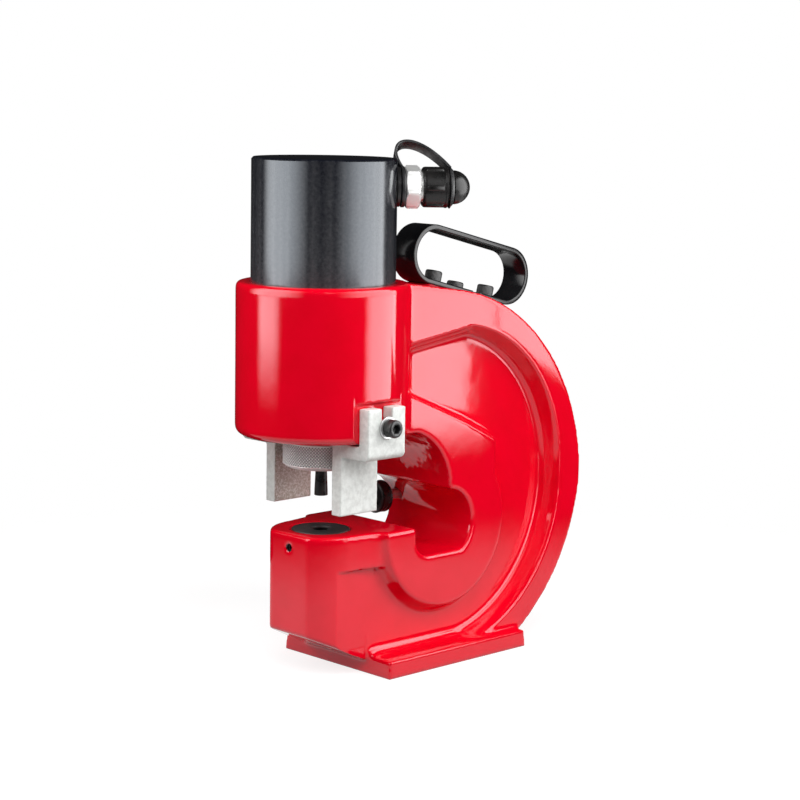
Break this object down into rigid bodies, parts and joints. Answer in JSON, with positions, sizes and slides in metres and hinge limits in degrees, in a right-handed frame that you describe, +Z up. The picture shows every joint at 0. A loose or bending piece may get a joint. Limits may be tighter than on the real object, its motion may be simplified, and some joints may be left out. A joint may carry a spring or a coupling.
{
  "type": "hydraulic hole punch head",
  "caption": "C-frame hydraulic punch head: spring-return ram above a die, side strippers, carrying handle, edge stop and capped oil coupler.",
  "frame": {"origin": "centre of the base's bottom face, on the floor", "axes": "+Z up along the punch axis, -Y to the open front of the throat, +X to the side that shows in the picture"},
  "size_m": [0.1576, 0.2944, 0.3903],
  "materials": {
    "red_enamel": "glossy enamel on a casting",
    "gunmetal_barrel": "satin black steel tube",
    "bronze": "turned bearing bronze",
    "black_rubber": "matte rubber",
    "machined_steel": "turned steel",
    "hard_chrome": "polished hard chrome",
    "black_oxide": "black oxide steel",
    "die_steel": "dark ground tool steel",
    "plated_casting": "pale plated rough casting",
    "nickel_plate": "bright nickel plate",
    "black_plastic": "moulded black plastic",
    "black_paint": "black paint, worn pale at its edges"
  },
  "bodies": {
    "frame": {"c_frame": "red_enamel", "jaw_nose": "red_enamel", "cylinder_barrel": "gunmetal_barrel", "gland_bush": "bronze", "rod_wiper": "black_rubber", "return_spring": "machined_steel", "die": "die_steel", "die_set_screw": "black_oxide", "stripper_bolts": "black_oxide", "stripper_washers": "machined_steel", "port_seal": "black_rubber", "port_adapter": "black_oxide", "coupler_body": "nickel_plate", "coupler_spring": "machined_steel", "dust_cap_strap": "black_rubber", "handle": "black_paint", "handle_screws": "black_oxide"},
    "ram": {"ram_rod": "hard_chrome", "piston": "machined_steel", "piston_seal": "black_rubber", "piston_guide_ring": "bronze", "piston_nut": "machined_steel", "punch_nut": "machined_steel", "punch": "black_oxide"},
    "right_stripper": {"stripper_right": "plated_casting"},
    "left_stripper": {"stripper_left": "plated_casting"},
    "edge_stop": {"edge_stop_knob": "black_plastic", "edge_stop_stud": "machined_steel"},
    "poppet": {"coupler_poppet": "machined_steel"},
    "cap": {"dust_cap": "black_plastic"}
  },
  "joints": [
    {"name": "ram_slide", "type": "slide", "parent": "frame", "child": "ram", "axis": [0, 0, -1], "range_m": [0, 0.027], "stiffness_N_per_m": 4000, "springref_m": -0.02, "deforming": ["return_spring"]},
    {"name": "right_stripper_slide", "type": "slide", "parent": "frame", "child": "right_stripper", "axis": [0, 0, -1], "range_m": [0, 0.008]},
    {"name": "left_stripper_slide", "type": "slide", "parent": "frame", "child": "left_stripper", "axis": [0, 0, -1], "range_m": [0, 0.008]},
    {"name": "edge_stop_slide", "type": "slide", "parent": "frame", "child": "edge_stop", "axis": [0, -1, 0], "range_m": [0, 0.012]},
    {"name": "poppet_slide", "type": "slide", "parent": "frame", "child": "poppet", "axis": [-0.6157, -0.788, 0], "range_m": [0, 0.004], "stiffness_N_per_m": 500, "springref_m": -0.002, "deforming": ["coupler_spring"]},
    {"name": "dust_cap_pull", "type": "slide", "parent": "frame", "child": "cap", "axis": [0.6157, 0.788, 0], "range_m": [0, 0.03], "deforming": ["dust_cap_strap"]}
  ]
}
